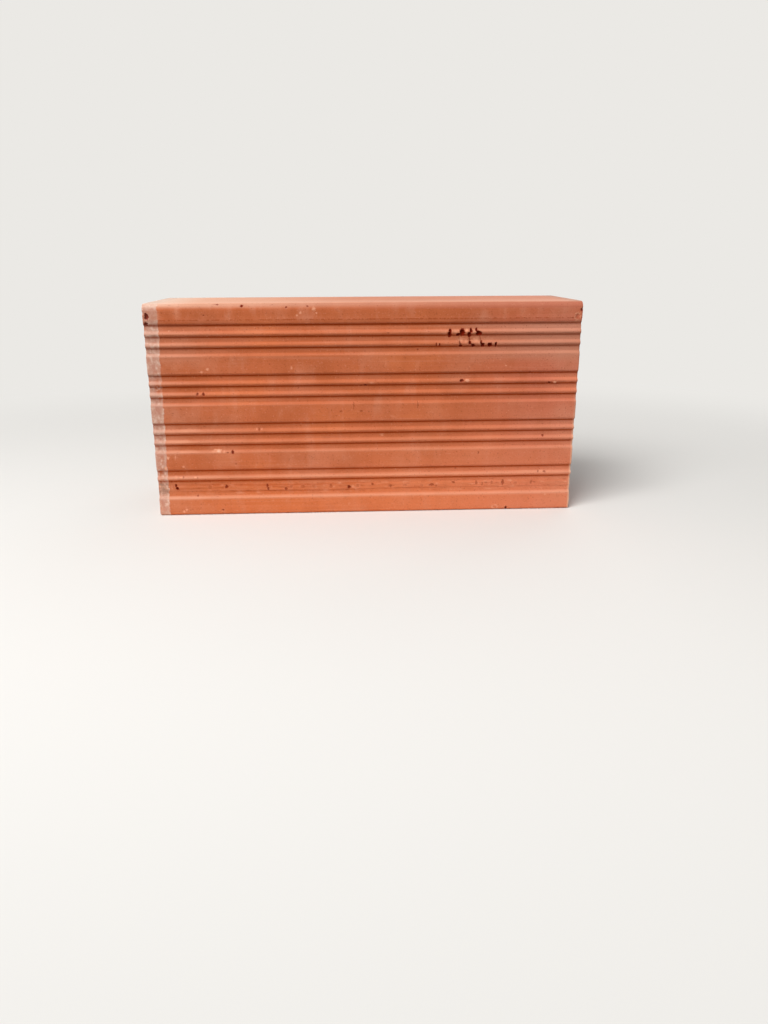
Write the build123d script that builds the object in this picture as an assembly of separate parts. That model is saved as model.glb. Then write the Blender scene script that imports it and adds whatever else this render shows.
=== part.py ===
from build123d import *
import math
import os

# A hollow clay block, extruded, cut to length by a wire and fired, in millimetres.
# X runs along the extrusion, from cut end to cut end. Y runs through the wall that the block builds,
# with the front face at -Y. Z is up, and the block stands on its lower bed face.
# The origin is the middle of the lower bed face. The whole block is one piece of one section.

# Outside of the block
block_length = 300.0
block_thickness = 90.0
block_height = 149.0
upper_edge_radius = 5.0
lower_edge_radius = 2.0

# Cells that run through the block, in rows one above another
cell_rows = 4
cell_columns = 2
shell_wall = 11.0
web_wall = 8.0
cell_corner_radius = 4.0

# Scored grooves along both long faces, flat-floored with leaning walls: one group over each row of cells
grooves_in_group = 3
groove_pitch = 7.6
groove_mouth = 6.4
groove_floor = 3.2
groove_depth = 1.5
groove_lip_radius = 1.2
groove_root_radius = 0.8
group_drop = 0.4

# Crest of the lowest rib on the front face, dragged away before firing
dragged_crest_depth = 1.2

# Cells: what is left between the walls
cell_width = (block_thickness - 2 * shell_wall - (cell_columns - 1) * web_wall) / cell_columns
cell_height = (block_height - 2 * shell_wall - (cell_rows - 1) * web_wall) / cell_rows
column_pitch = cell_width + web_wall
row_pitch = cell_height + web_wall

# Grooves: how far each wall leans, and roundings that the land, the floor and the wall leave room for
groove_land = groove_pitch - groove_mouth
groove_wall_lean = (groove_mouth - groove_floor) / 2
groove_wall = math.hypot(groove_wall_lean, groove_depth)
half_turn = math.atan2(groove_depth, groove_wall_lean) / 2
lip_radius = min(groove_lip_radius, 0.45 * min(groove_land, groove_wall) / math.tan(half_turn))
root_radius = min(groove_root_radius, 0.45 * min(groove_floor, groove_wall) / math.tan(half_turn))
half_thickness = block_thickness / 2


def column_middle(column):
    return (column - (cell_columns - 1) / 2) * column_pitch


def row_middle(row):
    return shell_wall + cell_height / 2 + row * row_pitch


def groove_middles(row):
    """Heights of the grooves over one row of cells, lowest first."""
    group_middle = row_middle(row) - group_drop
    first = -(grooves_in_group - 1) / 2
    return [group_middle + (first + number) * groove_pitch for number in range(grooves_in_group)]


def outline():
    """The block's outline, with its long edges rounded."""
    shape = Rectangle(block_thickness, block_height, align=(Align.CENTER, Align.MIN))
    shape = fillet(shape.vertices().group_by(Axis.Y)[-1], upper_edge_radius)
    return fillet(shape.vertices().group_by(Axis.Y)[0], lower_edge_radius)


def cells():
    """Every cell of the section."""
    cell = RectangleRounded(cell_width, cell_height, cell_corner_radius)
    places = [(column_middle(c), row_middle(r)) for c in range(cell_columns) for r in range(cell_rows)]
    return [Pos(*place) * cell for place in places]


def groove():
    """What one groove takes from a face: its floor is at -X, and its walls carry on past the face at +X."""
    floor_half, outer_half = groove_floor / 2, groove_floor / 2 + 2 * groove_wall_lean
    corners = [
        (-groove_depth, -floor_half),
        (groove_depth, -outer_half),
        (groove_depth, outer_half),
        (-groove_depth, floor_half),
    ]
    shape = Polygon(*corners)
    return fillet(shape.vertices().group_by(Axis.X)[0], root_radius)


def grooves():
    """Every groove of both long faces."""
    heights = [z for row in range(cell_rows) for z in groove_middles(row)]
    cutters = {1: groove(), -1: Rot(0, 0, 180) * groove()}
    return [Pos(side * half_thickness, z) * cutter for side, cutter in cutters.items() for z in heights]


def dragged_crest():
    """What is missing from the crest of the lowest rib of the front face."""
    lowest, next_up = groove_middles(0)[:2]
    band = Rectangle(2 * dragged_crest_depth, next_up - lowest)
    return Pos(-half_thickness, (lowest + next_up) / 2) * band


def is_groove_lip(vertex):
    on_face = abs(abs(vertex.X) - half_thickness) < 0.001
    reach = groove_mouth / 2 + 0.001
    lowest, highest = groove_middles(0)[0] - reach, groove_middles(cell_rows - 1)[-1] + reach
    return on_face and lowest < vertex.Y < highest


def section():
    """The section that the die gives the clay."""
    shape = outline() - grooves() - dragged_crest()
    shape = fillet(shape.vertices().filter_by(is_groove_lip), lip_radius)
    return shape - cells()


def clay_block():
    """The section drawn out between the two cut ends."""
    left_end = Plane.YZ.offset(-block_length / 2)
    return extrude(left_end * section(), block_length)


os.makedirs("parts", exist_ok=True)
export_step(clay_block(), "parts/clay_block.step")
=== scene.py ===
import math
import random

import bmesh
import bpy
from mathutils import Matrix, Vector, kdtree, noise


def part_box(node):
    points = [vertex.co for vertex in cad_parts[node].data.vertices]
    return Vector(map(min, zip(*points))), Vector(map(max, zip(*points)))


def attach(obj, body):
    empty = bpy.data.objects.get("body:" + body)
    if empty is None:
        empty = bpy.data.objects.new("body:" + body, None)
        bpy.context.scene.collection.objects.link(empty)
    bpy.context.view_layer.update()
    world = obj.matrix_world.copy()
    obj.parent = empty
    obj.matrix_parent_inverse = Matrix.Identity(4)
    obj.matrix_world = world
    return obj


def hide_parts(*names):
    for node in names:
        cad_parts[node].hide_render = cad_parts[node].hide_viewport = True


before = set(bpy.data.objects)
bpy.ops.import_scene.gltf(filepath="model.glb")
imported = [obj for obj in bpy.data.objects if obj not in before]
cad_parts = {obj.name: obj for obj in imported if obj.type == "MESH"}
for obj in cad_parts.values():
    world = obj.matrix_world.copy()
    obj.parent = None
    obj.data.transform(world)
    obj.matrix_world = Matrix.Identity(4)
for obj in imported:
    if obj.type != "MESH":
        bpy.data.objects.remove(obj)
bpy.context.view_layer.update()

scene = bpy.context.scene
# The block is made in millimetres, on the frame's own axes, and turned to metres at the end.
mm = 0.001
slack = 0.01  # places nearer to each other than this are one place

# One section of clay, extruded along X, cut by a wire and fired. It replaces the plain solid.
form = {
    "rows": 4,  # cells through the block
    "columns": 2,
    "shell": 11,
    "web": 8,
    "cellCorner": 4,
    "upperEdge": 5,  # roundness of the long edges
    "lowerEdge": 2,
    "grooves": 3,  # in each group, one group over each row of cells
    "groovePitch": 7.6,
    "grooveMouth": 6.4,
    "grooveFloor": 3.2,
    "grooveDepth": 1.5,
    "grooveLip": 1.2,
    "grooveRoot": 0.8,
    "groupDrop": 0.4,
    "draggedCrest": 1.2,  # lost from the lowest rib of the front face
    "ledgeLine": 137.9,  # the front sinks a hair from here down to the top groove
    "upperSteps": 5,  # grid lines round each edge and cell corner
    "lowerSteps": 3,
    "cornerSteps": 3,
    "lipGuard": 0.37,  # grid lines this far past each lip, over the ledge and in the dragged crest
    "ledgeGuard": 0.4,
    "crestGuard": 0.1,
    "coarse": 3.2,  # widest gap between the section's grid lines
    "finest": 0.2,  # a line nearer to the last one is left out
    "slice": 3.9,  # length of a slice of the skin midway, and beside the cuts
    "firstSlice": 0.4,
    "sliceGrowth": 1.35,
    "cellRings": (0.5, 1.6, 8, 55, 102),  # where the cell walls are divided, from each cut
    "cutLean": 0.5,  # the wire went a little out of square over the height
    "sharpTurn": 60,  # degrees: an edge that turns more stays sharp
}

low, high = (Vector(corner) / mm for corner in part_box("clay_block"))
size = high - low
middle = (low + high) / 2
halfThick = size.y / 2
halfLong = size.x / 2
columns, rows = range(form["columns"]), range(form["rows"])


# One cell's share of what the shell and the webs leave
def cellSpan(across, count):
    return (across - 2 * form["shell"] - (count - 1) * form["web"]) / count


cellWidth = cellSpan(size.y, form["columns"])
cellHeight = cellSpan(size.z, form["rows"])
rowPitch = cellHeight + form["web"]

# A groove has a flat floor, a round root, a leaning wall and a round lip.
# Each of these reaches this far from the groove's middle.
wallLean = (form["grooveMouth"] - form["grooveFloor"]) / 2
wallTurn = math.atan2(form["grooveDepth"], wallLean)
floorReach = form["grooveFloor"] / 2 - form["grooveRoot"] * math.tan(wallTurn / 2)
rootReach = floorReach + form["grooveRoot"] * math.sin(wallTurn)
lipReach = form["grooveMouth"] / 2 + form["grooveLip"] * math.tan(wallTurn / 2)
wallReach = lipReach - form["grooveLip"] * math.sin(wallTurn)


def rowMiddle(row):
    return low.z + form["shell"] + cellHeight / 2 + row * rowPitch


def columnMiddle(column):
    return (column - (form["columns"] - 1) / 2) * (cellWidth + form["web"])


def grooveMiddle(row, number):
    fromGroup = (number - (form["grooves"] - 1) / 2) * form["groovePitch"]
    return rowMiddle(row) - form["groupDrop"] + fromGroup


cellMiddles = [(columnMiddle(c), rowMiddle(r)) for c in columns for r in rows]
grooveLines = [grooveMiddle(r, n) for r in rows for n in range(form["grooves"])]


# How deep a scored face lies at a height
def grooveDepthAt(z):
    away = min(abs(z - line) for line in grooveLines)
    depth, root, lip = form["grooveDepth"], form["grooveRoot"], form["grooveLip"]
    if away < floorReach:
        return depth
    if away < rootReach:
        return depth - root + math.sqrt(root ** 2 - (away - floorReach) ** 2)
    if away < wallReach:
        return depth * (form["grooveMouth"] / 2 - away) / wallLean
    if away < lipReach:
        return lip - math.sqrt(lip ** 2 - (lipReach - away) ** 2)
    return 0.0


# The same with the dragged crest gone from the front
def faceDepthAt(z, isFront):
    depth = grooveDepthAt(z)
    if isFront and grooveLines[0] < z < grooveLines[1]:
        depth = max(depth, form["draggedCrest"])
    return depth


# The section's grid lines: the wanted places, thinned where they crowd and filled in where they lie apart
def gridLines(wanted):
    kept = []
    for place in sorted(wanted):
        if not kept or place - kept[-1] > form["finest"]:
            kept.append(place)
    lines = kept[:1]
    for place in kept[1:]:
        start = lines[-1]
        steps = math.ceil((place - start) / form["coarse"])
        lines += [start + (place - start) * (k + 1) / steps for k in range(steps)]
    return lines


# Even steps from a face across its rounded edge, back from it if the radius is below zero
def arcLines(face, radius, steps):
    return [face + radius * k / steps for k in range(1, steps + 1)]


def heightLines():
    wanted = [low.z, high.z, form["ledgeLine"], form["ledgeLine"] + form["ledgeGuard"]]
    wanted += arcLines(low.z, form["lowerEdge"], form["lowerSteps"])
    wanted += arcLines(high.z, -form["upperEdge"], form["upperSteps"])
    for row in rows:
        wanted += [rowMiddle(row) - cellHeight / 2, rowMiddle(row) + cellHeight / 2]
    reaches = [0, floorReach, (floorReach + rootReach) / 2, rootReach]
    reaches += [wallReach, (wallReach + lipReach) / 2, lipReach, lipReach + form["lipGuard"]]
    for line in grooveLines:
        wanted += [line + side * reach for reach in reaches for side in (-1, 1)]
    crestLean = form["draggedCrest"] * wallLean / form["grooveDepth"]
    crestReach = form["grooveMouth"] / 2 - crestLean
    wanted.append(grooveLines[0] + crestReach + form["crestGuard"])
    wanted.append(grooveLines[1] - crestReach - form["crestGuard"])
    return gridLines(wanted)


def depthLines():
    wanted = [-halfThick, halfThick]
    upperArc = arcLines(halfThick, -form["upperEdge"], form["upperSteps"])
    wanted += [side * place for place in upperArc for side in (-1, 1)]
    for column in columns:
        for side in (-1, 1):
            wall = columnMiddle(column) + side * cellWidth / 2
            wanted += [wall, *arcLines(wall, -side * form["cellCorner"], form["cornerSteps"])]
    return gridLines(wanted)


# Pulls a point of a square corner onto its round one, measured from the middle of the arc
def roundCorner(a, b):
    length = math.hypot(a, b)
    return (a * max(a, b) / length, b * max(a, b) / length)


# Rounds the long edges and the cell corners, and sinks the grooves into both faces
def shapeSection(bm):
    for v in bm.verts:
        y, z = v.co.y, v.co.z
        side = math.copysign(1, y)
        for edge, radius, up in ((high.z, form["upperEdge"], 1), (low.z, form["lowerEdge"], -1)):
            a, b = abs(y) - (halfThick - radius), up * (z - edge) + radius
            if a > 0 and b > 0:
                a, b = roundCorner(a, b)
                v.co.y, v.co.z = side * (halfThick - radius + a), edge + up * (b - radius)
        for cy, cz in cellMiddles:
            a = abs(y - cy) - (cellWidth / 2 - form["cellCorner"])
            b = abs(z - cz) - (cellHeight / 2 - form["cellCorner"])
            if a > 0 and b > 0 and max(a, b) < form["cellCorner"] + slack:
                roundA, roundB = roundCorner(a, b)
                v.co.y += (roundA - a) * math.copysign(1, y - cy)
                v.co.z += (roundB - b) * math.copysign(1, z - cz)
        inShell = abs(y) - (halfThick - form["shell"])
        if inShell > 0:
            v.co.y -= side * faceDepthAt(z, side < 0) * inShell / form["shell"]


def isOverCell(y, z):
    return any(abs(y - cy) < cellWidth / 2 and abs(z - cz) < cellHeight / 2 for cy, cz in cellMiddles)


# The section as a flat sheet at the left end, with its cells cut out
def sectionSheet(bm):
    ys, zs = depthLines(), heightLines()
    bmesh.ops.create_grid(bm, x_segments=len(ys) - 1, y_segments=len(zs) - 1, size=1.0)
    for v in bm.verts:
        column = round((v.co.x + 1) / 2 * (len(ys) - 1))
        row = round((v.co.y + 1) / 2 * (len(zs) - 1))
        v.co = (low.x, ys[column], zs[row])
    inCells = [f for f in bm.faces if isOverCell(*f.calc_center_median().yz)]
    bmesh.ops.delete(bm, geom=inCells, context="FACES")
    shapeSection(bm)


# An edge from cut to cut, far longer along X than across
def runsAlongX(edge):
    step = edge.verts[1].co - edge.verts[0].co
    return abs(step.x) > 10 * math.hypot(step.y, step.z)


def isInside(co):
    inWidth = abs(co.y) < halfThick - form["shell"] + slack
    return inWidth and form["shell"] - slack < co.z - low.z < size.z - form["shell"] + slack


# Distances of the skin's slices from the left cut: thin beside the cuts and longer midway
def slicePlaces():
    steps = [form["firstSlice"]]
    while sum(steps) < halfLong:
        steps.append(min(steps[-1] * form["sliceGrowth"], form["slice"]))
    half = [sum(steps[:k]) * halfLong / sum(steps) for k in range(len(steps) + 1)]
    return half + [size.x - place for place in reversed(half[:-1])]


def cellPlaces():
    half = [0, *form["cellRings"], halfLong]
    return half + [size.x - place for place in reversed(half[:-1])]


# Divides edges that run from cut to cut at the given places
def divide(bm, edges, places):
    cut = bmesh.ops.subdivide_edges(bm, edges=edges, cuts=len(places) - 2, use_grid_fill=True)
    for v in {g for g in cut["geom_inner"] if isinstance(g, bmesh.types.BMVert)}:
        v.co.x = low.x + places[round((v.co.x - low.x) / size.x * (len(places) - 1))]


# The section drawn out to the right cut, with the skin divided more finely than the cells
def drawOut(bm):
    drawn = bmesh.ops.extrude_face_region(bm, geom=bm.faces[:])
    farEnd = [g for g in drawn["geom"] if isinstance(g, bmesh.types.BMVert)]
    bmesh.ops.translate(bm, verts=farEnd, vec=(size.x, 0, 0))
    walls = [e for e in bm.edges if runsAlongX(e)]
    divide(bm, [e for e in walls if isInside(e.verts[0].co)], cellPlaces())
    divide(bm, [e for e in bm.edges if runsAlongX(e) and not isInside(e.verts[0].co)], slicePlaces())
    bmesh.ops.recalc_face_normals(bm, faces=bm.faces[:])


# Each side of the block: the way into it, along it and up it
sideWays = {
    "front": ((0, 1, 0), (1, 0, 0), (0, 0, 1)),
    "back": ((0, -1, 0), (1, 0, 0), (0, 0, 1)),
    "top": ((0, 0, -1), (1, 0, 0), (0, 1, 0)),
    "bed": ((0, 0, 1), (1, 0, 0), (0, 1, 0)),
    "left": ((1, 0, 0), (0, 1, 0), (0, 0, 1)),
    "right": ((-1, 0, 0), (0, 1, 0), (0, 0, 1)),
}
sides = {name: [Vector(way) for way in ways] for name, ways in sideWays.items()}

# What happened to this block. A mark is (along, up, half width, half height, depth) on its side, in mm.
marks = {
    "tornAndShaded": [  # clay plucked out of the upper ribs as the column left the die, painted with shade inside
        (58.2, 127.4, 1.3, 2.2, 2.2), (58.5, 129.6, 0.9, 1.6, 2), (66.9, 128.4, 1.8, 2.6, 2.4),
        (64, 127, 1.4, 1.1, 2), (72.9, 129.6, 1, 1.7, 2.1), (71.8, 127, 1.3, 1.8, 2.2),
        (78.5, 127.8, 2, 1.6, 2.4), (76.6, 130.3, 0.8, 1.3, 1.9), (81.3, 119.9, 1.3, 1.6, 2.2),
        (80.2, 121.8, 0.7, 1.3, 1.8), (86.4, 119.9, 1.6, 1.5, 2.2), (90.4, 120.1, 0.8, 1.7, 2),
        (72.3, 121.4, 0.9, 1.4, 1.9), (74.8, 119.5, 1.3, 1, 2), (66, 119.5, 1.1, 0.8, 1.8),
        (49, 120.4, 0.4, 1.1, 1), (51.3, 120.4, 0.4, 1, 0.9), (-137.3, 22.3, 0.9, 1.1, 2.3),
        (-136.5, 20.1, 1.1, 1.4, 2.4),
    ],
    "cracks": [  # fine tears that join them: two ends, the depth, and how much painted shade
        (71.8, 126, 72.2, 122, 2.2, 0.55), (72.6, 121, 74.3, 119.7, 2, 0.5),
        (79.2, 126.5, 80.2, 121.9, 2, 0.4), (64.6, 125.9, 65.8, 119.9, 1.9, 0.3),
    ],
    "pores": [  # single holes in the front: a sixth number says how much painted shade each one gets
        (-101.2, 20.8, 1.2, 1.2, 2, 0.7), (-113, 20.6, 1.3, 1.6, 1.5, 0.3),
        (-71.9, 21.2, 0.9, 1.5, 1.9, 0.7), (-71.1, 19, 0.8, 1.2, 1.8, 0.7),
        (-58.4, 18.4, 1.3, 1.2, 1.8, 0.6), (-54.7, 20.2, 1, 1.1, 1.6, 0.35),
        (-46.2, 20.2, 1.5, 1.3, 1.6, 0.3), (-37.9, 20, 1.6, 1.3, 1.5, 0.22),
        (-26, 19.9, 1.1, 1.6, 1.7, 0.4), (-12.6, 19.2, 1.4, 1.3, 1.9, 0.75), (-6.4, 20, 1.2, 1.2, 1.6, 0.3),
        (4.4, 20.9, 1, 0.9, 1.7, 0.55), (17.6, 19.4, 1, 1.3, 1.7, 0.5), (28, 19.6, 1.5, 1, 1.5, 0.25),
        (40.4, 19.2, 1.4, 1.2, 1.6, 0.3), (47.8, 19.8, 2, 0.9, 1.7, 0.55), (51, 18.9, 1, 0.8, 1.6, 0.4),
        (63.7, 21.3, 1.3, 0.8, 1.7, 0.55), (80.4, 20.7, 0.8, 1.9, 1.6, 0.45),
        (84.9, 19.8, 0.7, 1.6, 1.6, 0.4), (87.6, 20.7, 1.3, 0.9, 1.6, 0.35),
        (91.8, 20.9, 0.7, 1.5, 1.6, 0.35), (95.4, 20.3, 0.6, 1, 1.5, 0.25), (99.9, 20.8, 1, 2.2, 1.8, 0.55),
        (109.6, 19.9, 1.4, 1.2, 1.5, 0.25), (121, 20.6, 1, 1.3, 1.6, 0.45),
        (36.3, 117.2, 0.7, 0.6, 1.9, 0.6), (-0.2, 93, 1.6, 0.7, 2, 0.6), (-3.4, 92.8, 1.1, 0.6, 1.8, 0.4),
        (67.4, 95.4, 1.6, 1.1, 1.5, 0.75), (-117, 87.9, 1, 1.3, 1.3, 0.55),
        (-112.8, 87.8, 0.9, 1.4, 1.3, 0.7), (-92.2, 88, 0.6, 0.7, 0.5, 0.3), (-95, 46.4, 1, 1.3, 1.2, 0.75),
        (-98.6, 46, 0.6, 0.9, 1, 0.4), (-17.6, 74.8, 0.9, 0.8, 0.4, 0.45),
        (-3.3, 74.8, 0.9, 0.8, 0.4, 0.45), (-8.6, 79, 0.5, 2.4, 0.3, 0.45),
        (36.6, 78.6, 0.5, 2.6, 0.3, 0.5), (-75.6, 62.6, 0.6, 1.2, 0.5, 0.5),
        (-93.3, 37.8, 0.7, 0.7, 0.5, 0.45), (-104.4, 3.6, 0.8, 0.8, 0.6, 0.6),
        (103, 1.4, 0.9, 1.2, 1.2, 0.9), (-131.4, 28.5, 0.5, 0.8, 0.6, 0.5),
        (-121.3, 27.9, 0.5, 0.7, 0.6, 0.45), (127.4, 55.4, 0.9, 0.8, 1.2, 0.7),
        (125.6, 28.6, 0.6, 1, 1, 0.5), (130.2, 28.5, 1, 0.9, 1, 0.5), (-122.1, 14.4, 0.8, 0.7, 1.4, 0.6),
        (-109, 141, 0.5, 0.5, 0.6, 0.6), (-99.5, 147.9, 0.7, 0.6, 1.9, 0.7),
        (-83.3, 146.9, 1, 0.9, 1.4, 0.9), (-53.3, 146, 0.7, 0.7, 0.9, 0.7),
        (-39, 146.6, 0.7, 0.7, 1.1, 0.6), (81, 43.5, 0.5, 1.1, 0.4, 0.6), (129.6, 93.4, 1, 0.6, 1.9, 0.5),
        (-147, 140.4, 1.4, 2.4, 1.3, 0.8), (-147.8, 135.6, 1.5, 1.2, 2, 0.7),
        (149.1, 142.8, 0.8, 1.2, 0.8, 0.7),
    ],
    "rings": [  # flakes about to lift: shallow, with faint painted shade on the floor and a pale rim
        (146.6, 138.4, 1.7, 2.2, 0.6), (94.5, 2.2, 1.8, 1.2, 0.3),
    ],
    "crumbs": [  # clay smeared on, raised where a groove leaves it room: the last number is how pale
        (50.1, 120.4, 0.6, 0.9, 0.3, 0.7), (133.4, 93.6, 1.4, 0.8, 1.1, 1.2),
        (-133.1, 28.3, 1.1, 0.8, 0.4, 1), (-122.8, 28.2, 1.2, 0.8, 0.4, 1.15),
        (71.2, 95.5, 1.6, 1.2, 0.4, 1), (127.8, 28.8, 0.7, 0.7, 0.3, 0.7),
        (-34.3, 144.4, 0.8, 0.5, 0.3, 0.7), (-105, 47.3, 2.1, 1.6, 0.5, 1.45),
        (-107.6, 48.2, 1.6, 0.8, 0.3, 0.8),
    ],
    "scrapes": [  # pale rubs with no relief of their own: their last number is how pale
        (14, 108, 0.7, 4, 0.3), (131.6, 11.3, 1.6, 0.9, 0.7), (93.6, 1.8, 1, 0.6, 0.7),
        (-132.6, 2.8, 1.4, 1, 1), (-136.5, 28.4, 1.6, 2.2, 0.5), (-135.8, 43.4, 0.8, 3, 0.7),
        (-141, 42.8, 1, 1.6, 1.4), (-143.2, 35.4, 1, 1.4, 1.7), (-130.5, 36.2, 1.3, 1, 0.8),
        (-130.6, 4.2, 1.4, 1, 0.9), (-133, 131, 1.2, 0.8, 0.6), (118, 28.8, 24, 1.4, 0.45),
        (127.8, 28.7, 3, 1.7, 0.7), (133, 28.8, 1.3, 1.1, 0.5), (-117, 28.8, 18, 1.2, 0.3),
        (-128, 47.2, 15, 1.3, 0.55), (-108, 47, 3.6, 1.2, 0.6), (-101.2, 46.9, 1.2, 1.5, 0.6),
        (-130, 54.6, 15, 1.4, 0.55), (-126, 62.4, 13, 1.3, 0.5), (-120, 15, 20, 1.2, 0.3),
        (-131, 106.8, 2.6, 5, 0.25), (-128, 142.4, 3.4, 4.6, 0.35), (-139.4, 141, 1.6, 4.4, 0.3),
        (-117, 139.4, 2.4, 3, 0.2), (-112, 108.6, 3.4, 4.6, 0.2), (62.4, 128.8, 2.8, 2.2, 0.6),
        (69.8, 129.6, 1.5, 2.4, 0.75), (75.4, 128.6, 1.6, 2.2, 0.65), (66, 123.6, 3.6, 2.4, 0.6),
        (69.6, 122.6, 1.5, 2, 0.5), (76.6, 123.4, 3.2, 2.8, 0.65), (79, 121, 1.4, 1.8, 0.5),
        (86, 123.8, 5, 1.8, 0.4), (54, 128.2, 3.4, 1.8, 0.45), (76, 131.2, 5, 1, 0.25),
        (98, 143, 7, 3, 0.2), (128, 140, 6, 4, 0.2), (-10, 19.6, 1.1, 1.4, 0.6),
        (-23.6, 19.4, 1.3, 1.3, 0.5), (-37, 19.8, 1.2, 1.5, 0.4), (-69, 20, 1.1, 1.4, 0.4),
        (45, 19.4, 1.3, 1.2, 0.4), (82.4, 20, 1, 1.6, 0.5), (90, 19.2, 0.9, 1.2, 0.4),
        (98, 20.4, 0.9, 1.6, 0.4), (-140.4, 21, 1, 2.2, 0.5), (-13, 6.6, 1.4, 1.6, 0.4),
        (-68, 12.4, 4, 1.2, 0.3), (-34.8, 144.8, 1.6, 1.8, 0.9), (-33, 142.2, 0.8, 0.9, 1),
        (-44, 142.4, 1.2, 1.1, 1), (-46.4, 140.6, 1.2, 0.9, 0.9), (-51.3, 105.6, 0.9, 1.8, 0.7),
        (98.2, 105.6, 0.9, 0.8, 0.9), (5, 94.6, 2.4, 1.6, 0.8), (20.8, 70.2, 2, 0.9, 0.7),
        (11.2, 57.2, 1.6, 1.4, 0.6), (-77.4, 62.8, 0.9, 1.5, 0.6), (-73.8, 62.8, 0.9, 1.5, 0.6),
        (-108.8, 105, 1.2, 1.3, 0.9), (-113, 103.2, 1.8, 0.9, 0.8),
    ],
    "chips": [  # bites out of the edges: a place on the edge and a radius
        (104.5, -45, 0, 1.5), (149.3, -45, 143.6, 1.2), (-149.6, -45, 142.6, 1.5),
        (-149.8, -45, 138.6, 1.2), (-149.8, -44.6, 98, 0.9), (150, -45, 96.6, 0.8), (-150, -45, 30, 0.8),
    ],
    "seed": 4817,  # of the marks that are scattered by chance
    "scatteredPores": {"front": 5, "back": 30, "top": 14, "bed": 14, "left": 16, "right": 16},
    "poreRadius": (0.3, 0.7),
    "poreWide": (0.8, 1.6),  # half its width and its depth, in radii
    "poreDeep": (0.8, 1.3),
    "poreMargin": 5,  # kept clear along the sides' edges
    "pluckedCuts": 9,  # grains that the wire pulled out of each cut
    "pluckedRadius": (0.8, 1.5),
    "pluckedTall": 1.4,
    "pluckedDeep": 0.6,
    "pluckedMargin": 3,
    "edgeChips": 26,  # more small bites round the two cut ends
    "chipRadius": (0.4, 1.0),
    # How each kind is drawn: its places go from 0 in the middle to 1 at the rim, which can be ragged
    "pit": {"ragged": 0.45, "bowl": 0.55, "darkTo": 1.2, "darkFade": 0.35, "rimAt": 1.1, "rimFade": 0.3},
    "crack": {"step": 0.4, "wander": 0.5, "wide": 0.45, "tall": 0.5},
    "crumb": {"ragged": 0.5, "sunk": 0.05},
    "rub": {"ragged": 0.7, "fade": 1.5},
    "bite": {"ragged": 0.3, "atEdge": 0.96, "outside": 0.35, "search": 1.5, "pale": 0.35},
    "outline": 0.9,  # size of the unevenness
    "pointSearch": (1.5, 2),  # how far out points are looked for, in half widths, and how deep
    "lastPlace": 1.35,  # colour can reach this far past the rim
    "facingAway": 0.3,  # a point that faces inward more than this is on another side
    "poreRim": 0.3,  # how pale a pore's rim is, and how much painted shade a scattered pore gets
    "scatteredDark": 0.4,
    "ringDark": 0.15,  # how much painted shade a ring's floor gets, and how pale its rim
    "ringRim": 0.9,
    "margin": 0.5,  # the mesh is fine this far round a mark too
    "crackSpot": 2.6,  # and this far round a crack's middle
    "wideScrape": 2,  # a scrape this wide needs no finer mesh
    "finestEdge": 0.5,  # edges near a mark are divided down to this, in so many passes
    "passes": 3,
    "sunkShare": 0.7,
}

# Inward push of every surface, in mm. A span is the size of a pattern along X, Y and Z.
endless = math.inf  # the span along an axis on which a pattern doesn't change
skin = {
    "swell": 0.12,  # slow waviness from drying
    "swellSpan": (70, 30, 28),
    "drag": 0.05,  # lines that the die drew along the block
    "dragSpan": (60, 1.7, 1.7),
    "grain": 0.05,
    "grainSpan": 2.3,
    "lipTear": 0.3,  # ragged places in a band on the groove lips
    "lipSpan": (5, 9, 1.6),
    "lipInset": 0.1,
    "lipBand": 0.8,
    "dragged": 0.13,  # roughness of the dragged rib, full this far from its rims
    "draggedFade": 1.2,
    "draggedSpan": (5.5, endless, 1.9),
    "fineDraggedSpan": (2.6, endless, 1.2),
    "fineDragged": 0.6,
    "draggedSlice": 1.0,  # its longer slices are halved
    "dragLine": 18.9,  # height, width and depth of the one scratch along it
    "dragLineWide": 0.5,
    "dragLineDeep": 0.22,
    "dragLineSpan": (14, endless, endless),
    "draggedDark": (0.25, 0.7),  # roughness past which its sunk parts get painted shade and its proud parts pale, and how fast
    "draggedPale": (-0.2, 0.8),
    "ledge": 0.36,  # how far the front sinks from the ledge down to the top groove
    "wire": 0.16,  # streaks down the cuts
    "wireSpan": (1, 1.5, 38),
    "lipHighlightReach": 1.9,  # how far the painted highlight on a groove's lower lip reaches
    "rootShadeReach": 1.1,  # and the painted shade in its upper root
    "rim": 0.28,  # roundness of the rims round the cuts, and how far it reaches
    "rimReach": 1.2,
    "rimSpan": (1, 3, 3),
    "rimLeast": 0.65,  # share of it at the least, and what varies
    "rimSpread": 0.7,
    "rimBack": 0.4,  # share of it that goes along the block
    "onCut": 0.8,  # how much a cut faces along X, and its flat part
    "allCut": 0.98,
    "onRim": 0.2,  # and how much its rim does
    "onSide": 0.3,  # what faces along Y less than this isn't scored
    "nearFace": 0.1,  # what lies this far past the grooves' depth isn't either
}


def unit(value):
    return 0.5 + 0.5 * value


# Noise drawn out to a span: a shift along one axis makes it another pattern
def spanNoise(co, span, shift=(0, 0, 0)):
    return noise.noise(Vector([c / s + moved for c, s, moved in zip(co, span, shift)]))


def placeOn(side, along, up):
    inward, across, lift = sides[side]
    faceMiddle = middle - inward * abs(inward.dot(size)) / 2
    return faceMiddle + across * along + lift * (up - middle.dot(lift))


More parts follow.
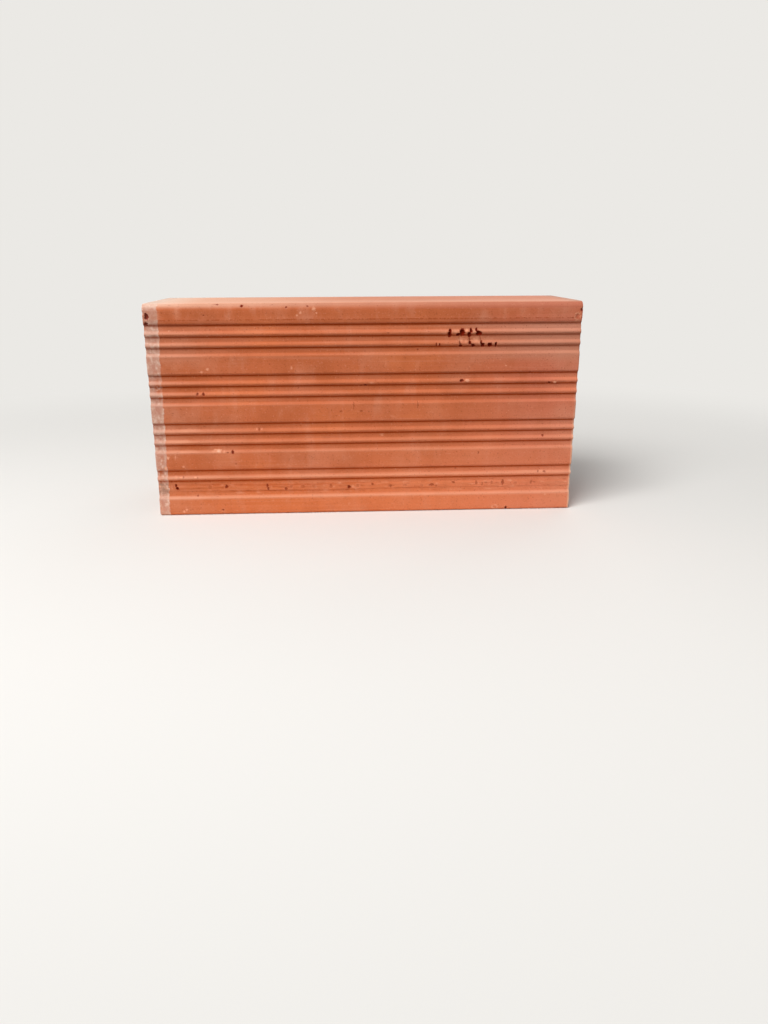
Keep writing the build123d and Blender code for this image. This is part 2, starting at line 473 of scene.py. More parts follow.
# Scattered marks: the same ones each run
def scatterMarks():
    draw = random.Random(marks["seed"])
    pores, chips = [], []
    for side, count in marks["scatteredPores"].items():
        inward, across, lift = sides[side]
        halfAlong = abs(across.dot(size)) / 2 - marks["poreMargin"]
        halfUp = abs(lift.dot(size)) / 2 - marks["poreMargin"]
        made = 0
        while made < count:
            along = draw.uniform(-halfAlong, halfAlong)
            up = middle.dot(lift) + draw.uniform(-halfUp, halfUp)
            radius = draw.uniform(*marks["poreRadius"])
            if side in ("left", "right") and isOverCell(along, up):
                continue
            made += 1
            wide = radius * draw.uniform(*marks["poreWide"])
            deep = radius * draw.uniform(*marks["poreDeep"])
            pores.append((side, along, up, wide, radius, deep))
    margin = marks["pluckedMargin"]
    for side in ("left", "right"):
        made = 0
        while made < marks["pluckedCuts"]:
            along = draw.uniform(-halfThick + margin, halfThick - margin)
            up = draw.uniform(low.z + margin, high.z - margin)
            if isOverCell(along, up):
                continue
            made += 1
            radius = draw.uniform(*marks["pluckedRadius"])
            tall, deep = radius * marks["pluckedTall"], radius * marks["pluckedDeep"]
            pores.append((side, along, up, radius, tall, deep))
    for _ in range(marks["edgeChips"]):
        x = draw.choice((low.x, high.x))
        y, z = draw.uniform(-halfThick, halfThick), draw.uniform(low.z, high.z)
        onFace = (math.copysign(halfThick, y), z)
        y, z = draw.choice((onFace, onFace, (y, low.z), (y, high.z)))  # the long faces twice as often
        chips.append((x, y, z, draw.uniform(*marks["chipRadius"])))
    return pores, chips


morePores, moreChips = scatterMarks()
allChips = [*marks["chips"], *moreChips]


# Where the mesh has to be fine enough to carry a mark: places, and how far round each
def markSpots():
    spots, margin = [], marks["margin"]
    for name in ("tornAndShaded", "pores", "rings", "crumbs"):
        spots += [(placeOn("front", *m[:2]), max(m[2:4]) + margin) for m in marks[name]]
    narrow = [m for m in marks["scrapes"] if m[2] < marks["wideScrape"]]
    spots += [(placeOn("front", *m[:2]), max(m[2:4])) for m in narrow]
    for fromAlong, fromUp, toAlong, toUp, *_ in marks["cracks"]:
        halfway = placeOn("front", (fromAlong + toAlong) / 2, (fromUp + toUp) / 2)
        spots.append((halfway, marks["crackSpot"]))
    spots += [(placeOn(*m[:3]), max(m[3:5]) + margin) for m in morePores]
    spots += [(Vector(c[:3]), c[3] + margin) for c in allChips]
    return spots


# Halves long edges near the marks until they are short. A mark may lie sunk in a groove under its spot.
def refineNear(bm, spots):
    tree = kdtree.KDTree(len(spots))
    for number, (centre, reach) in enumerate(spots):
        tree.insert(centre, number)
    tree.balance()
    deepest = form["grooveDepth"] + marks["margin"]
    sunk = deepest * marks["sunkShare"]
    widest = max(reach for centre, reach in spots)
    for _ in range(marks["passes"]):
        near = []
        for edge in bm.edges:
            length = edge.calc_length()
            if not marks["finestEdge"] < length < 2 * form["slice"]:
                continue
            halfway = (edge.verts[0].co + edge.verts[1].co) / 2
            found = tree.find_range(halfway, math.hypot(widest + length / 2, deepest))
            if any(away < math.hypot(spots[number][1] + length / 2, sunk) for _, number, away in found):
                near.append(edge)
        bmesh.ops.subdivide_edges(bm, edges=near, cuts=1, use_grid_fill=True)


# How far into the dragged rib a height is, from 0 at its rims to 1
def inDraggedRib(co):
    if co.y > 0:
        return 0.0
    inset = min(co.z - grooveLines[0] + floorReach, grooveLines[1] + floorReach - co.z)
    return min(1.0, max(0.0, inset / skin["draggedFade"]))


def draggedRoughness(co):
    broad = spanNoise(co, skin["draggedSpan"], (0, 7, 0))
    return broad + skin["fineDragged"] * spanNoise(co, skin["fineDraggedSpan"], (0, 3, 0))


# The dragged rib is rougher along X than the rest of the front, so its slices are halved
def refineDraggedRib(bm):
    rough = []
    for edge in bm.edges:
        a, b = edge.verts[0].co, edge.verts[1].co
        isLong = runsAlongX(edge) and edge.calc_length() > skin["draggedSlice"]
        if isLong and a.y < -halfThick + 2 * form["grooveDepth"] and inDraggedRib((a + b) / 2) > 0:
            rough.append(edge)
    bmesh.ops.subdivide_edges(bm, edges=rough, cuts=1, use_grid_fill=True)


def skinPush(co, normal):
    swell = unit(spanNoise(co, skin["swellSpan"]))
    drag = unit(spanNoise(co, skin["dragSpan"], (0, 40, 0)))
    grain = unit(noise.noise(co / skin["grainSpan"] + Vector((0, 0, 90))))
    push = skin["swell"] * swell + skin["drag"] * drag + skin["grain"] * grain
    if abs(normal.x) > skin["onCut"]:
        return push + skin["wire"] * unit(spanNoise(co, skin["wireSpan"]))
    if isInside(co) or abs(normal.y) < skin["onSide"]:
        return push
    away = min(abs(co.z - line) for line in grooveLines)
    onLip = max(0, 1 - abs(away - lipReach + skin["lipInset"]) / skin["lipBand"])
    ragged = max(0, spanNoise(co, skin["lipSpan"]) - 0.1)  # only the noise's higher places tear
    push += skin["lipTear"] * onLip * ragged
    inRib = inDraggedRib(co)
    if inRib > 0:
        onLine = max(0, 1 - abs(co.z - skin["dragLine"]) / skin["dragLineWide"])
        line = onLine * unit(spanNoise(co, skin["dragLineSpan"], (0, 11, 0)))
        push += inRib * (skin["dragged"] * draggedRoughness(co) + skin["dragLineDeep"] * line)
    if co.y < 0 and grooveLines[-1] < co.z < form["ledgeLine"]:
        sunk = (form["ledgeLine"] - co.z) / (form["ledgeLine"] - grooveLines[-1] - lipReach)
        push += skin["ledge"] * min(1, sunk)
    return push


# Rounds the rims round the cuts unevenly, as a wire leaves them
def rimPush(co):
    away = halfLong - abs(co.x)
    if away > skin["rimReach"]:
        return 0.0
    uneven = skin["rimLeast"] + skin["rimSpread"] * unit(spanNoise(co, skin["rimSpan"]))
    return skin["rim"] * uneven * (1 - away / skin["rimReach"]) ** 2


def treeOf(bm):
    tree = kdtree.KDTree(len(bm.verts))
    for v in bm.verts:
        tree.insert(v.co, v.index)
    tree.balance()
    return tree


# Points of a side within a mark, with how far out in it each one is, and how deep
def pointsIn(bm, tree, side, mark, ragged):
    inward, across, lift = sides[side]
    centre = placeOn(side, *mark[:2])
    searchOut, searchDeep = marks["pointSearch"]
    reach = math.hypot(max(mark[2:4]) * searchOut, form["grooveDepth"] + searchDeep)
    for _, number, _ in tree.find_range(centre, reach):
        v = bm.verts[number]
        offset = v.co - centre
        if v.normal.dot(inward) > marks["facingAway"]:
            continue
        along, up = offset.dot(across) / mark[2], offset.dot(lift) / mark[3]
        out = math.hypot(along, up) * (1 + ragged * noise.noise(v.co / marks["outline"]))
        if out < marks["lastPlace"]:
            yield v, out, offset.dot(inward)


# A pit gets painted shade inside, and is pale round its rim where the skin lifted
def pressIn(bm, tree, side, mark, darkness, rimPale=0.0):
    inward, pit = sides[side][0], marks["pit"]
    tearShade, bare = bm.verts.layers.float["tearShade"], bm.verts.layers.float["bare"]
    for v, out, depth in pointsIn(bm, tree, side, mark, pit["ragged"]):
        if out < 1:
            v.co += inward * max(0, mark[4] * (1 - out ** 2) ** pit["bowl"] - depth)
        v[tearShade] = max(v[tearShade], darkness * min(1, max(0, (pit["darkTo"] - out) / pit["darkFade"])))
        v[bare] = max(v[bare], rimPale * max(0, 1 - abs(out - pit["rimAt"]) / pit["rimFade"]))


# A crumb stays a hair under the face, so that it fills a groove and never stands out of the block
def raiseOut(bm, tree, side, mark):
    inward, crumb = sides[side][0], marks["crumb"]
    bare = bm.verts.layers.float["bare"]
    for v, out, depth in pointsIn(bm, tree, side, mark, crumb["ragged"]):
        if out < 1:
            v.co -= inward * min(mark[4] * (1 - out ** 2), max(0, depth - crumb["sunk"]))
            v[bare] = max(v[bare], mark[5] * (1 - out ** 3))


def rubPale(bm, tree, side, mark):
    bare, rub = bm.verts.layers.float["bare"], marks["rub"]
    for v, out, depth in pointsIn(bm, tree, side, mark, rub["ragged"]):
        v[bare] = max(v[bare], mark[4] * max(0, 1 - out ** rub["fade"]))


# A crack is a row of small pits that wanders between its ends
def pressCrack(bm, tree, side, crack):
    start, end, crackForm = Vector(crack[:2]), Vector(crack[2:4]), marks["crack"]
    steps = math.ceil((end - start).length / crackForm["step"])
    for k in range(steps + 1):
        place = start.lerp(end, k / steps)
        wander = crackForm["wander"] * noise.noise(Vector((place.x, place.y, 5)))
        pit = (place.x + wander, place.y, crackForm["wide"], crackForm["tall"], crack[4])
        pressIn(bm, tree, side, pit, crack[5])


# Pushes the points in a rough ball out of it, so that an edge looks bitten
def biteAway(bm, tree, chip):
    edge, bite = Vector(chip[:3]), marks["bite"]
    ways = zip(edge - middle, size / 2)
    outward = Vector([math.copysign(abs(f / h) > bite["atEdge"], f) for f, h in ways])
    centre = edge + outward * chip[3] * bite["outside"]
    bare = bm.verts.layers.float["bare"]
    for _, number, _ in tree.find_range(centre, chip[3] * bite["search"]):
        v = bm.verts[number]
        radius = chip[3] * (1 + bite["ragged"] * noise.noise(v.co / marks["outline"]))
        offset = v.co - centre
        if offset.length < radius:
            v.co = centre + offset.normalized() * radius
            v[bare] = max(v[bare], bite["pale"])


# The two cuts lean the same way: the upper left and the lower right corner lose a little
def leanCuts(co):
    up, along = (co.z - low.z) / size.z, (co.x - low.x) / size.x
    return form["cutLean"] * (up * (1 - along) - (1 - up) * along)


# How near a height is to a line in some groove, from 0 at the reach to 1
def nearLine(z, above, reach):
    return max(0, 1 - min(abs(z - line - above) for line in grooveLines) / reach)


# Pushes the whole skin in and marks the ribs for painted highlight and shade, then makes each mark in turn
def weather(bm):
    names = ("tearShade", "bare", "lip", "root")  # the clay's material reads these
    for name in names:
        bm.verts.layers.float.new(name)
    tearShade, bare, lip, root = (bm.verts.layers.float[name] for name in names)
    faceReach = form["grooveDepth"] + skin["nearFace"]
    darkFrom, darken = skin["draggedDark"]
    paleFrom, pale = skin["draggedPale"]
    bm.normal_update()
    for v in bm.verts:
        co, normal = v.co.copy(), v.normal.copy()
        if halfThick - abs(co.y) < faceReach and inDraggedRib(co) == 0:
            # lip marks each lower lip for a painted highlight, root each upper root for painted shade
            v[lip] = nearLine(co.z, -wallReach, skin["lipHighlightReach"])
            v[root] = nearLine(co.z, rootReach, skin["rootShadeReach"])
        # the dragged rib gets painted shade where its roughness sinks it, and pales where it stands proud
        inRib = inDraggedRib(co) * (halfThick + co.y < faceReach)
        v[tearShade] = inRib * max(0, draggedRoughness(co) - darkFrom) * darken
        v[bare] = inRib * max(0, paleFrom - draggedRoughness(co)) * pale
        v.co -= normal * skinPush(co, normal)
        if abs(normal.x) <= skin["allCut"]:
            inSection = Vector((0, normal.y, normal.z)).normalized()
            push = rimPush(co)
            v.co -= inSection * push
            v.co.x -= math.copysign(push * skin["rimBack"] * (abs(normal.x) > skin["onRim"]), co.x)
    bm.verts.index_update()
    bm.verts.ensure_lookup_table()
    bm.normal_update()
    tree = treeOf(bm)
    for mark in marks["tornAndShaded"]:
        pressIn(bm, tree, "front", mark, 1.0)
    for crack in marks["cracks"]:
        pressCrack(bm, tree, "front", crack)
    for *mark, darkness in marks["pores"]:
        pressIn(bm, tree, "front", mark, darkness, marks["poreRim"])
    for side, *mark in morePores:
        pressIn(bm, tree, side, mark, marks["scatteredDark"])
    for mark in marks["rings"]:
        pressIn(bm, tree, "front", mark, marks["ringDark"], marks["ringRim"])
    for mark in marks["crumbs"]:
        raiseOut(bm, tree, "front", mark)
    for mark in marks["scrapes"]:
        rubPale(bm, tree, "front", mark)
    for chip in allChips:
        biteAway(bm, tree, chip)
    for v in bm.verts:
        v.co.x += leanCuts(v.co)
        v.co = [min(max(c, a), b) for c, a, b in zip(v.co, low, high)]


def report(bm, stage):
    triangles = sum(len(f.verts) - 2 for f in bm.faces)
    openEdges = sum(1 for e in bm.edges if len(e.link_faces) != 2)
    print(stage, "triangles", triangles, "open edges", openEdges)


def addObject(name, data):
    added = bpy.data.objects.new(name, data)
    scene.collection.objects.link(added)
    return added


bm = bmesh.new()
sectionSheet(bm)
drawOut(bm)
report(bm, "block drawn out:")
refineDraggedRib(bm)
refineNear(bm, markSpots())
report(bm, "block refined:")
weather(bm)
bmesh.ops.scale(bm, vec=(mm, mm, mm), verts=bm.verts[:])
mesh = bpy.data.meshes.new("terracottaBlock")
bm.to_mesh(mesh)
bm.free()
mesh.shade_smooth()
mesh.set_sharp_from_angle(angle=math.radians(form["sharpTurn"]))
block = addObject("terracotta_block", mesh)
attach(block, "root")
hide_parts("clay_block")
print("block weathered")


def fromHex(text):
    channels = [int(text[k:k + 2], 16) / 255 for k in (1, 3, 5)]
    return tuple(c / 12.92 if c <= 0.04045 else ((c + 0.055) / 1.055) ** 2.4 for c in channels) + (1,)


# Adds a shader node and gives its outputs. Each input, by name or number, is a value or a node's output.
def addNode(tree, kind, inputs, **settings):
    node = tree.nodes.new("ShaderNode" + kind)
    for name, value in settings.items():
        setattr(node, name, value)
    for socket, value in inputs.items():
        if isinstance(value, bpy.types.NodeSocket):
            tree.links.new(value, node.inputs[socket])
        else:
            node.inputs[socket].default_value = value
    return node.outputs


# Extruded terracotta: unglazed, dragged smooth along X by the die and fired. It is matt and dusty,
# orange-red in slow patches, with a sandy grain and a bloom of salts.
clayColours = {
    "mid": "#c4683f",
    "deep": "#b25a2f",
    "warm": "#d07141",
    "rose": "#cb7259",
    "dark": "#701c00",  # iron specks
    "shadeAndStreak": "#a03c06",  # painted shade deep under the groove lips and at the ledge, and a darker streak on the dragged rib
    # greyish film on the upper ribs, also painted sheen on the rounded upper edge
    "hazeAndSheen": "#c0917a",
    "glow": "#dc7f58",
    "bloomAndSheen": "#d9987c",  # thin film of salts, also painted highlight and sheen on the lips and the top
    # pale for painted highlight and sheen: the lips, the upper edge, the top and the right rim
    "paleHighlight": "#e6b498",
    # painted shade on the rounded upper edge toward the right, and a speckle in the scum
    "dusk": "#b4644a",
    "grime": "#a07a66",
    "scum": "#c89b88",  # thick film beside the left cut
    "chalk": "#e6cbb7",
    # dark red-brown of torn clay, mostly painted shade inside pits and hollows
    "tornAndShaded": "#741c0a",
    "bare": "#e09a78",
}
# Size of each pattern along X, Y and Z, in mm, and its detail
claySpans = {
    "patch": (48, 42, 34, 3),
    "wipe": (9, 30, 24, 4),
    "film": (34, 30, 30, 4),
    "streak": (75, 1.5, 1.5, 3),
    "wire": (30, 1.2, 42, 3),
    "grain": (1, 0.9, 0.9, 3),
    "sand": (0.42, 0.42, 0.42, 2),  # real sand is half this size, too fine to show
    "speckle": (2.2, 2.2, 2.6, 4),
}
# Fields worked out from others, by name or number. A map has a field, and its values at none and full.
clayFields = {
    "fromLeft": ("SUBTRACT", "x", low.x),
    "fromRight": ("SUBTRACT", high.x, "x"),
    "fromEnd": ("MINIMUM", "fromLeft", "fromRight"),
    "cuts": ("map", "fromEnd", 0.9, 0.35),
    "endOn": ("ABSOLUTE", "ahead"),
    "notCut": ("map", "endOn", 0.95, 0.7),
    "skin": ("SUBTRACT", 1, "cuts"),
    "highUp": ("map", "z", high.z - 8, high.z - 5),
    "flat": ("map", "up", 0.88, 0.99),
    "turned": ("map", "up", 0.15, 0.8),
    "bent": ("map", "up", 0, 0.25),
    "crown": ("map", "up", 0.45, 0.9),
    "rounded": ("SUBTRACT", "turned", "flat"),
    "roundedWide": ("SUBTRACT", "bent", "flat"),
    "edge": ("MULTIPLY", "rounded", "highUp"),
    "edgeWide": ("MULTIPLY", "roundedWide", "highUp"),
    "edgeCrown": ("MULTIPLY", "edge", "crown"),
    "top": ("MULTIPLY", "flat", "highUp"),
    "lowDown": ("map", "z", 110, 15),
    "onFront": ("map", "y", -38, -42.5),
    "upperBand": ("map", "z", 136.5, 139),
    "highBand": ("MULTIPLY", "upperBand", "onFront"),
    "lowRims": ("MULTIPLY", "lowDown", "notCut"),
    "frontBand": ("SUBTRACT", "highBand", "bent"),
    "leftHalf": ("map", "x", 10, -70),
    "leftBand": ("MULTIPLY", "highBand", "leftHalf"),
    "high": ("map", "z", 106, 116),
    "underLedge": ("map", "z", 136, 134.6),
    "highRow": ("MULTIPLY", "high", "underLedge"),
    "highRibs": ("MULTIPLY", "highRow", "onFront"),
    "aboveRib": ("map", "z", 15, 17),
    "belowRib": ("map", "z", 25, 23),
    "ribRow": ("MULTIPLY", "aboveRib", "belowRib"),
    "rib": ("MULTIPLY", "ribRow", "onFront"),
    "overLedge": ("SUBTRACT", "z", form["ledgeLine"]),
    "fromLedge": ("ABSOLUTE", "overLedge"),
    "ledgeRow": ("map", "fromLedge", 0.6, 0.2),
    "ledge": ("MULTIPLY", "ledgeRow", "onFront"),
    "underRed": ("map", "z", 103, 97),
    "overRed": ("map", "z", 80, 86),
    "redRow": ("MULTIPLY", "underRed", "overRed"),
    "redPatch": ("MULTIPLY", "redRow", "onFront"),
    "nearLeft": ("map", "fromLeft", 58, 9),
    "nearRight": ("map", "fromRight", 40, 3),
    "scumLine": ("MULTIPLY_ADD", "z", 3.6 / size.z, 7),  # its inner edge stands further in at the top
    "wander": ("MULTIPLY_ADD", "speckle", 3, -1.5),
    "scumEdge": ("ADD", "scumLine", "wander"),
    "pastScum": ("SUBTRACT", "fromLeft", "scumEdge"),
    "scum": ("map", "pastScum", 0.5, -0.5),
    "ribScum": ("MULTIPLY", "scum", "rib"),
    "bandScum": ("MULTIPLY", "scum", "frontBand"),
}
clayForm = {
    "patternShift": 13.7,  # keeps the patterns from lying over each other
    "speckApart": 5,  # distance between iron specks
    "roughness": (0.8, 0.94),  # the least and the most, and the grain's values there
    "grainSpread": (0.3, 0.7),
    "shine": 0.25,
    "even": {"IOR": 1.5, "Sheen Weight": 0.05, "Sheen Roughness": 0.4},  # the sheen is dust on the skin
    # Layers of colour, each over the last: the colour, the field that it follows, that field's values where
    # the colour is absent and strongest, how strong that is, and where it lies
    "layers": [
        ("deep", "patch", 0.52, 0.36, 0.55, "all"),
        ("warm", "patch", 0.52, 0.7, 0.6, "all"),
        # painted bounce light: warmer and brighter toward the bottom
        ("warm", "z", 36, 14, 0.8, "all"),
        ("rose", "x", 40, 150, 0.7, "all"),
        ("deep", "wipe", 0.5, 0.34, 0.25, "skin"),
        ("bloomAndSheen", "wipe", 0.54, 0.72, 0.16, "skin"),
        ("deep", "streak", 0.5, 0.34, 0.15, "skin"),
        ("bloomAndSheen", "streak", 0.56, 0.72, 0.12, "skin"),
        ("deep", "wire", 0.52, 0.36, 0.6, "cuts"),
        ("bloomAndSheen", "wire", 0.52, 0.68, 0.4, "cuts"),
        ("bloomAndSheen", "film", 0.45, 0.7, 0.18, "all"),
        ("bloomAndSheen", "film", 0.35, 0.62, 0.22, "nearLeft"),
        ("bloomAndSheen", "film", 0.38, 0.65, 0.22, "nearRight"),
        ("bloomAndSheen", "x", 20, 125, 0.32, "highRibs"),
        ("bloomAndSheen", "streak", 0.46, 0.66, 0.15, "highRibs"),
        ("deep", "z", 131, 126, 0.3, "highRibs"),
        ("deep", "z", 138, 142, 0.3, "frontBand"),
        ("glow", "fromRight", 30, 6, 0.5, "redPatch"),
        ("shadeAndStreak", "streak", 0.48, 0.36, 0.4, "rib"),
        ("bloomAndSheen", "wipe", 0.5, 0.66, 0.1, "highBand"),
        ("bloomAndSheen", "wipe", 0.48, 0.62, 0.12, "leftBand"),
        ("deep", "wipe", 0.5, 0.36, 0.3, "leftBand"),
        ("deep", "x", -50, -150, 0.35, "lowDown"),
        ("glow", "x", -60, 110, 0.55, "lowDown"),
        # painted highlight on each groove's lower lip, more near the left cut and toward the bottom
        ("bloomAndSheen", "lip", 0.1, 0.9, 0.05, "all"),
        ("bloomAndSheen", "lip", 0.1, 0.9, 0.35, "nearLeft"),
        ("paleHighlight", "z", 75, 10, 0.3, "lip"),
        # painted light on the rounded upper edge: painted shade toward the right end, painted sheen growing
        # toward the left and whitest near the left cut
        ("dusk", "x", -90, 130, 0.8, "edgeWide"),
        ("hazeAndSheen", "x", 220, -80, 0.55, "edge"),
        ("paleHighlight", "x", -20, -150, 0.38, "edge"),
        ("chalk", "fromLeft", 34, 8, 0.3, "edgeCrown"),
        ("bloomAndSheen", "top", 0, 1, 0.55, "all"),  # painted sheen on what faces up, most at the front and toward the left where light falls, less and greyer near the right cut
        ("paleHighlight", "y", 0, -34, 0.3, "top"),
        ("paleHighlight", "x", 20, -130, 0.75, "top"),
        ("chalk", "fromLeft", 40, 8, 0.6, "top"),
        ("hazeAndSheen", "fromRight", 14, 2, 0.7, "top"),
        # painted shade in the upper root of each groove, under its lip
        ("shadeAndStreak", "root", 0.1, 1, 0.9, "all"),
        ("hazeAndSheen", "x", 50, 125, 0.28, "highRibs"),
        ("hazeAndSheen", "nearLeft", 0, 1, 0.15, "highRibs"),
        # painted shade: a dashed dark line under the ledge's step
        ("shadeAndStreak", "speckle", 0.42, 0.56, 0.5, "ledge"),
        ("dark", "grain", 0.4, 0.26, 0.4, "all"),
        ("bloomAndSheen", "grain", 0.6, 0.76, 0.4, "all"),
        ("dark", "speck", 0.09, 0.05, 0.4, "all"),
        ("scum", "wipe", 0.28, 0.52, 0.85, "scum"),
        ("dusk", "speckle", 0.5, 0.34, 0.4, "scum"),
        ("chalk", "speckle", 0.5, 0.7, 0.5, "scum"),
        ("scum", "lip", 0.1, 0.9, 0.5, "scum"),
        ("chalk", "scum", 0, 1, 0.35, "edge"),
        ("chalk", "top", 0, 1, 0.6, "scum"),
        ("chalk", "pastScum", -2.2, -0.6, 0.15, "scum"),
        # painted shade in the groove roots inside the scum as well
        ("shadeAndStreak", "root", 0.1, 1, 0.5, "scum"),
        ("grime", "speckle", 0.7, 0.36, 0.9, "ribScum"),
        ("deep", "speckle", 0.4, 0.58, 0.5, "bandScum"),
        # painted highlight along the lower rim of the right cut
        ("paleHighlight", "fromRight", 2.4, 0.9, 0.9, "lowRims"),
        ("bare", "bare", 0, 1, 1, "all"),
        ("chalk", "bare", 1, 2, 0.8, "all"),
        # painted shade with the darker torn core, in pits, cracks and the dragged rib's hollows
        ("tornAndShaded", "tearShade", 0, 1, 1, "all"),
    ],
    # Relief: the field, its height in mm, and where it is
    "relief": [
        ("grain", 0.11, "all"),
        ("sand", 0.06, "all"),
        ("streak", 0.05, "skin"),
        ("wire", 0.3, "cuts"),
        ("speckle", 0.12, "scum"),
    ],
}

clay = bpy.data.materials.new("extrudedTerracotta")
clay.use_nodes = True
tree = clay.node_tree
shader = tree.nodes["Principled BSDF"]
place = addNode(tree, "TexCoord", {})["Object"]
inMm = addNode(tree, "VectorMath", {0: place, "Scale": 1 / mm}, operation="SCALE")[0]
axes = addNode(tree, "SeparateXYZ", {0: inMm})
facing = addNode(tree, "SeparateXYZ", {0: addNode(tree, "NewGeometry", {})["Normal"]})
fields = {"x": axes["X"], "y": axes["Y"], "z": axes["Z"], "ahead": facing["X"], "up": facing["Z"], "all": 1}
for name in ("tearShade", "bare", "lip", "root"):
    fields[name] = addNode(tree, "Attribute", {}, attribute_name=name)["Fac"]
for number, (name, (alongX, alongY, alongZ, detail)) in enumerate(claySpans.items()):
    shift = clayForm["patternShift"] * number
    stretch = {0: inMm, 1: (1 / alongX, 1 / alongY, 1 / alongZ), 2: (shift,) * 3}
    stretched = addNode(tree, "VectorMath", stretch, operation="MULTIPLY_ADD")[0]
    fields[name] = addNode(tree, "TexNoise", {"Vector": stretched, "Scale": 1.0, "Detail": detail})[0]
apart = {0: inMm, "Scale": 1 / clayForm["speckApart"]}
speckCells = addNode(tree, "VectorMath", apart, operation="SCALE")[0]
fields["speck"] = addNode(tree, "TexVoronoi", {"Vector": speckCells, "Scale": 1.0})["Distance"]
for name, (operation, *values) in clayFields.items():
    inputs = {number: fields.get(value, value) for number, value in enumerate(values)}
    if operation == "map":
        fields[name] = addNode(tree, "MapRange", inputs, interpolation_type="SMOOTHSTEP")[0]
    else:
        fields[name] = addNode(tree, "Math", inputs, operation=operation)[0]

colour = fromHex(clayColours["mid"])
for tone, field, absent, full, strength, where in clayForm["layers"]:
    spread = {0: fields[field], 1: absent, 2: full, 3: 0.0, 4: strength}
    cover = addNode(tree, "MapRange", spread, interpolation_type="SMOOTHSTEP")[0]
    cover = addNode(tree, "Math", {0: cover, 1: fields[where]}, operation="MULTIPLY")[0]
    mixed = {0: cover, 6: colour, 7: fromHex(clayColours[tone])}
    colour = addNode(tree, "Mix", mixed, data_type="RGBA")[2]
tree.links.new(colour, shader.inputs["Base Color"])

height = 0.0
for field, tall, where in clayForm["relief"]:
    local = addNode(tree, "Math", {0: fields[where], 1: tall}, operation="MULTIPLY")[0]
    height = addNode(tree, "Math", {0: fields[field], 1: local, 2: height}, operation="MULTIPLY_ADD")[0]
bump = addNode(tree, "Bump", {"Height": height, "Distance": mm, "Strength": 1.0})
tree.links.new(bump[0], shader.inputs["Normal"])
spread = dict(enumerate([fields["grain"], *clayForm["grainSpread"], *clayForm["roughness"]]))
tree.links.new(addNode(tree, "MapRange", spread)[0], shader.inputs["Roughness"])
# Open pores leave little of the surface to shine, and the pits and upper groove roots, where shade is
# painted, shine less yet
dull = addNode(tree, "Math", {0: fields["tearShade"], 1: fields["root"]}, operation="MAXIMUM")[0]
shine = addNode(tree, "MapRange", {0: dull, 1: 0.0, 2: 1.0, 3: clayForm["shine"], 4: 0.0})[0]
tree.links.new(shine, shader.inputs["Specular IOR Level"])
for socket, value in clayForm["even"].items():
    shader.inputs[socket].default_value = value
mesh.materials.append(clay)
print("clay ready")

# The studio: a pale floor that sweeps up behind the block. The camera sees it fade to plain pale away from
# the block, and it throws light back only from close by, as a sheet of paper would.
studio = {
    "wide": 8, "near": -4, "far": 2.4, "tall": 3.6, "bend": 1, "bendSteps": 16,  # metres
    "lit": "#e1dfdb",
    "plain": "#ebe9e5",
    "bounceNear": "#e8e2da", "bounceFar": "#75706b",
    "bounceReach": (0.05, 0.13),  # metres from the block, where the near bounce starts to fall and ends
    "fadeReach": (0.15, 0.55),
    "room": 0.35,  # soft light from all round
}


# One for what the camera sees, in reflections and glass too, and zero for what lights things
def seenRays(tree):
    rays = addNode(tree, "LightPath", {})
    seen = rays["Is Camera Ray"]
    for kind in ("Glossy", "Transmission"):
        seen = addNode(tree, "Math", {0: seen, 1: rays[f"Is {kind} Ray"]}, operation="MAXIMUM")[0]
    return seen


floorMat = bpy.data.materials.new("paleStudioPaper")
floorMat.use_nodes = True
tree = floorMat.node_tree
paper = tree.nodes["Principled BSDF"]
seen = seenRays(tree)
place = addNode(tree, "TexCoord", {})["Object"]
folded = addNode(tree, "VectorMath", {0: place}, operation="ABSOLUTE")[0]
blockHalf = (halfLong * mm, halfThick * mm, 0)
beyond = addNode(tree, "VectorMath", {0: folded, 1: blockHalf}, operation="SUBTRACT")[0]
beyond = addNode(tree, "VectorMath", {0: beyond, 1: (0, 0, 0)}, operation="MAXIMUM")[0]
away = addNode(tree, "VectorMath", {0: beyond}, operation="LENGTH")["Value"]
start, end = studio["bounceReach"]
isFar = addNode(tree, "MapRange", {0: away, 1: start, 2: end}, interpolation_type="SMOOTHSTEP")[0]
tones = {0: isFar, 6: fromHex(studio["bounceNear"]), 7: fromHex(studio["bounceFar"])}
bounced = addNode(tree, "Mix", tones, data_type="RGBA")[2]
paperColour = addNode(tree, "Mix", {0: seen, 6: bounced, 7: fromHex(studio["lit"])}, data_type="RGBA")[2]
tree.links.new(paperColour, paper.inputs["Base Color"])
paper.inputs["Roughness"].default_value = 0.9
start, end = studio["fadeReach"]
faded = addNode(tree, "MapRange", {0: away, 1: start, 2: end}, interpolation_type="SMOOTHSTEP")[0]
faded = addNode(tree, "Math", {0: faded, 1: seen}, operation="MULTIPLY")[0]
plain = addNode(tree, "Emission", {"Color": fromHex(studio["plain"]), "Strength": 1.0})[0]
both = addNode(tree, "MixShader", {0: faded, 1: paper.outputs[0], 2: plain})[0]
tree.links.new(both, tree.nodes["Material Output"].inputs["Surface"])

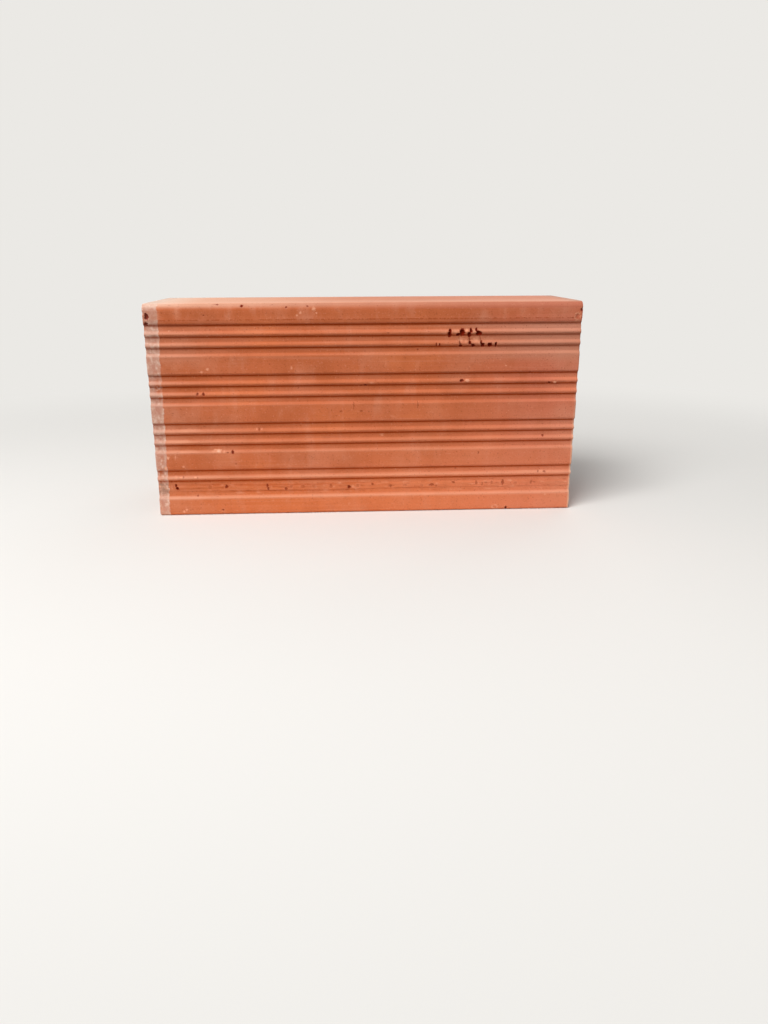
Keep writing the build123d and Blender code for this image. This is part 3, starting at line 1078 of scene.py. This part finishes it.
bm = bmesh.new()
bmesh.ops.create_grid(bm, x_segments=1, y_segments=1, size=1.0)
for v in bm.verts:
    v.co = (v.co.x * studio["wide"] / 2, studio["near"] if v.co.y < 0 else studio["far"], 0)
farEdge = [e for e in bm.edges if all(v.co.y > 0 for v in e.verts)]
raised = bmesh.ops.extrude_edge_only(bm, edges=farEdge)
raisedVerts = [g for g in raised["geom"] if isinstance(g, bmesh.types.BMVert)]
bmesh.ops.translate(bm, verts=raisedVerts, vec=(0, 0, studio["tall"]))
bend, bendSteps = studio["bend"], studio["bendSteps"]
bmesh.ops.bevel(bm, geom=farEdge, offset=bend, segments=bendSteps, profile=0.5, affect="EDGES", material=-1)
floorMesh = bpy.data.meshes.new("studioFloor")
bm.to_mesh(floorMesh)
bm.free()
floorMesh.shade_smooth()
floor = addObject("studio_floor", floorMesh)
floorMesh.materials.append(floorMat)

# The room gives soft light from all round. The camera sees plain pale instead.
world = bpy.data.worlds.new("softRoom")
scene.world = world
world.use_nodes = True
tree = world.node_tree
backdrop = tree.nodes["Background"]
seen = seenRays(tree)
tones = {0: seen, 6: (studio["room"],) * 3 + (1,), 7: fromHex(studio["plain"])}
tree.links.new(addNode(tree, "Mix", tones, data_type="RGBA")[2], backdrop.inputs["Color"])
backdrop.inputs["Strength"].default_value = 1.0

# Lamps: place and side in metres, and watts. The fill stands low behind, for the back and the right cut.
lightForm = {"softKey": ((-0.65, -0.85, 1.35), 1.0, 31), "softFill": ((0.8, 1.5, 0.5), 1.4, 10)}
lampAim = Vector((0, 0, 0.07))
for name, (place, side, power) in lightForm.items():
    lamp = bpy.data.lights.new(name, "AREA")
    lamp.shape = "SQUARE"
    lamp.size = side
    lamp.energy = power
    holder = addObject(name, lamp)
    holder.location = place
    holder.visible_camera = False
    holder.rotation_euler = (lampAim - holder.location).to_track_quat("-Z", "Y").to_euler()

# The camera: a phone held close, a little above the block and a hair left of its middle
cameraForm = {
    "place": (-12.6, -586.2, 176.1),
    "down": 18.03,  # degrees that it looks down and to the right, and that it is rolled
    "right": 2.647,
    "roll": 0.242,
    "focal": 774.7,  # in pixels of a picture this tall
    "frameTall": 1024,
}
cameraData = bpy.data.cameras.new("phone")
cameraData.sensor_width = 36
cameraData.lens = cameraForm["focal"] / cameraForm["frameTall"] * cameraData.sensor_width
camera = addObject("phone", cameraData)
aim = Matrix.Identity(3)
turns = ((-cameraForm["right"], "Z"), (90 - cameraForm["down"], "X"), (-cameraForm["roll"], "Z"))
for angle, axis in turns:
    aim = aim @ Matrix.Rotation(math.radians(angle), 3, axis)
camera.location = Vector(cameraForm["place"]) * mm
camera.rotation_euler = aim.to_euler()
scene.camera = camera
scene.view_settings.view_transform = "Standard"
print("studio ready")
